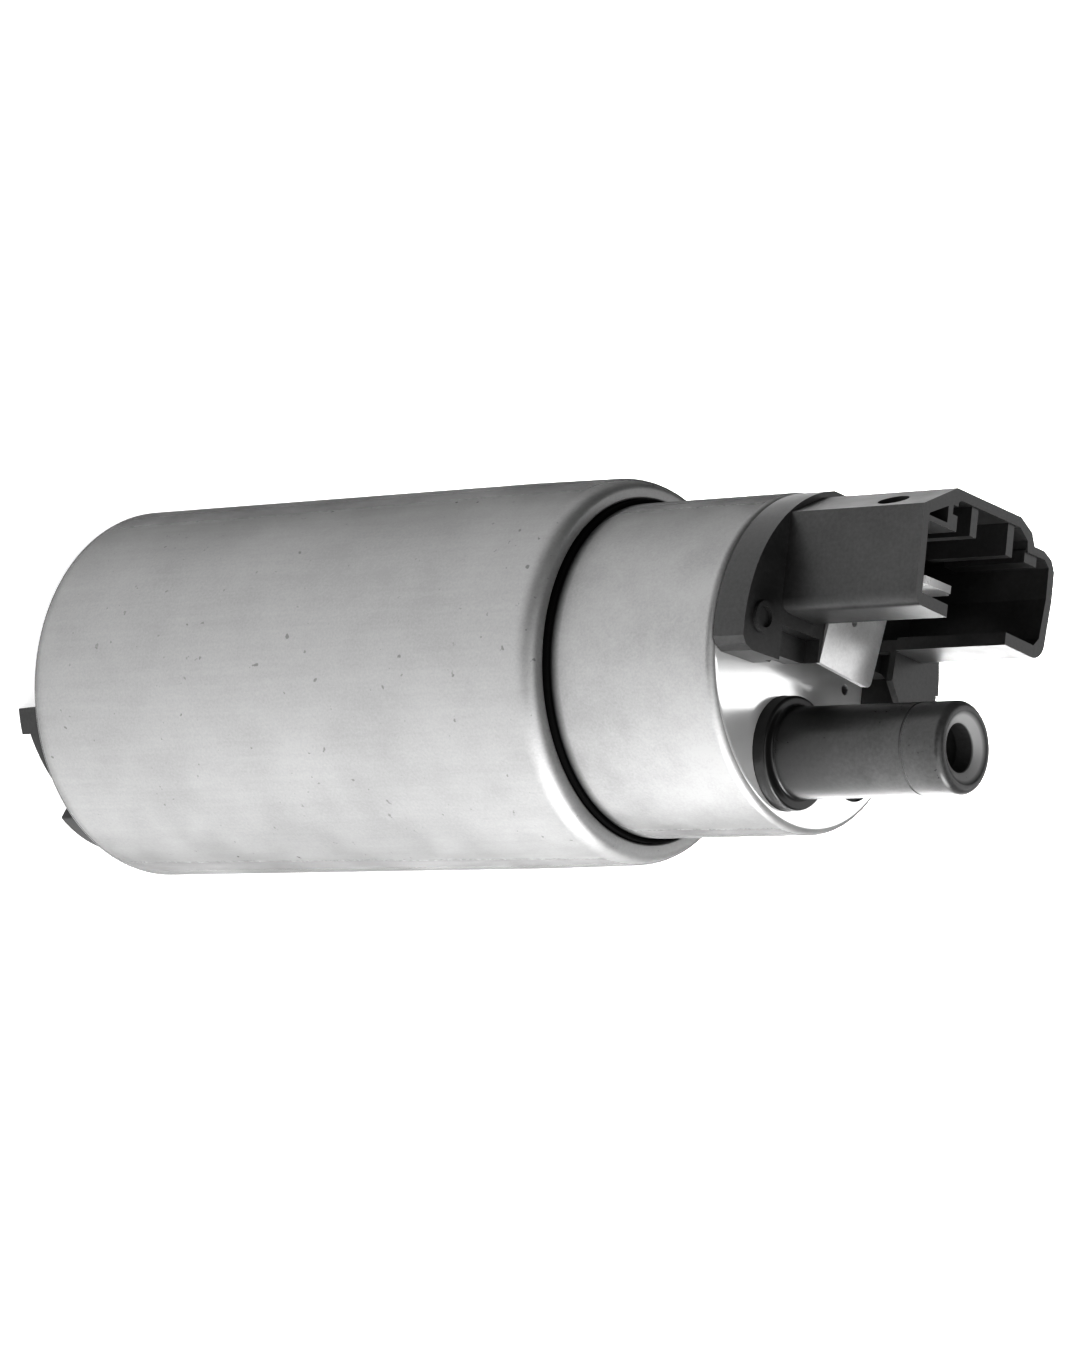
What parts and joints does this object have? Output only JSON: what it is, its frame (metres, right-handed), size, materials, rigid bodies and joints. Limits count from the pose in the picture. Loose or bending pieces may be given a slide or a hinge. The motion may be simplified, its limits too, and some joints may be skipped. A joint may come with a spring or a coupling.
{
  "type": "electric fuel pump",
  "caption": "In-tank electric fuel pump: plated can, narrower neck, moulded outlet tube and keyed connector socket on top, feet and inlet port below.",
  "frame": {"origin": "on the pump axis, at the level of the feet under the inlet end", "axes": "+Z along the pump axis from inlet to outlet, +X across the width of the connector socket, +Y from the outlet tube towards the socket"},
  "size_m": [0.038, 0.038, 0.1094],
  "materials": {
    "zinc_can": "satin drawn and zinc plated sheet",
    "case_steel": "satin drawn steel with a bright end face",
    "cap_plastic": "fine grained moulding",
    "tube_plastic": "satin moulding",
    "sleeve_rubber": "matt",
    "seal_rubber": "matt",
    "tinned_tab": "tinned, bright",
    "terminal_brass": "tinned brass",
    "spring_steel": "drawn wire",
    "valve_plastic": "natural acetal",
    "holder_plastic": "moulded",
    "carbon": "pressed carbon",
    "copper": "enamelled copper",
    "commutator_copper": "turned copper",
    "bronze": "sintered bronze",
    "core_steel": "stacked sheets",
    "shaft_steel": "ground",
    "ferrite": "sintered ferrite",
    "pump_plastic": "glass filled moulding",
    "casing_metal": "die cast",
    "cover_metal": "glass filled moulding"
  },
  "bodies": {
    "pump": {"outer_can": "zinc_can", "isolator_sleeve": "sleeve_rubber", "motor_case": "case_steel", "end_cap": "cap_plastic", "ground_tab": "tinned_tab", "terminal_a": "terminal_brass", "terminal_b": "terminal_brass", "outlet_tube": "tube_plastic", "outlet_seal": "seal_rubber", "check_seat": "seal_rubber", "check_spring": "spring_steel", "check_stop": "valve_plastic", "relief_spring": "spring_steel", "relief_plug": "holder_plastic", "brush_holder": "holder_plastic", "brush_spring_a": "spring_steel", "brush_spring_b": "spring_steel", "choke_a": "copper", "choke_b": "copper", "upper_bearing": "bronze", "lower_bearing": "bronze", "magnet_a": "ferrite", "magnet_b": "ferrite", "magnet_clip_a": "spring_steel", "magnet_clip_b": "spring_steel", "pump_casing": "casing_metal", "casing_seal": "seal_rubber", "thrust_ball": "shaft_steel", "inlet_cover": "cover_metal"},
    "rotor": {"commutator": "commutator_copper", "windings": "copper", "armature_core": "core_steel", "shaft": "shaft_steel", "impeller": "pump_plastic"},
    "brush_carriage_a": {"brush_a": "carbon"},
    "brush_carriage_b": {"brush_b": "carbon"},
    "check_valve": {"check_poppet": "valve_plastic"},
    "relief_valve": {"relief_ball": "shaft_steel"}
  },
  "joints": [
    {"name": "rotor_spin", "type": "hinge", "parent": "pump", "child": "rotor", "pos_m": [0, 0, 0.045], "axis": [0, 0, 1], "continuous": true},
    {"name": "brush_slide_a", "type": "slide", "parent": "pump", "child": "brush_carriage_a", "axis": [0, 0, 1], "range_m": [0, 0.002], "stiffness_N_per_m": 150, "springref_m": -0.003, "deforming": ["brush_spring_a"]},
    {"name": "brush_slide_b", "type": "slide", "parent": "pump", "child": "brush_carriage_b", "axis": [0, 0, 1], "range_m": [0, 0.002], "stiffness_N_per_m": 150, "springref_m": -0.003, "deforming": ["brush_spring_b"]},
    {"name": "check_valve_lift", "type": "slide", "parent": "pump", "child": "check_valve", "axis": [0, 0, 1], "range_m": [0, 0.002], "stiffness_N_per_m": 60, "springref_m": -0.004, "deforming": ["check_spring"]},
    {"name": "relief_valve_lift", "type": "slide", "parent": "pump", "child": "relief_valve", "axis": [0, 0, 1], "range_m": [0, 0.001], "stiffness_N_per_m": 600, "springref_m": -0.003, "deforming": ["relief_spring"]}
  ]
}
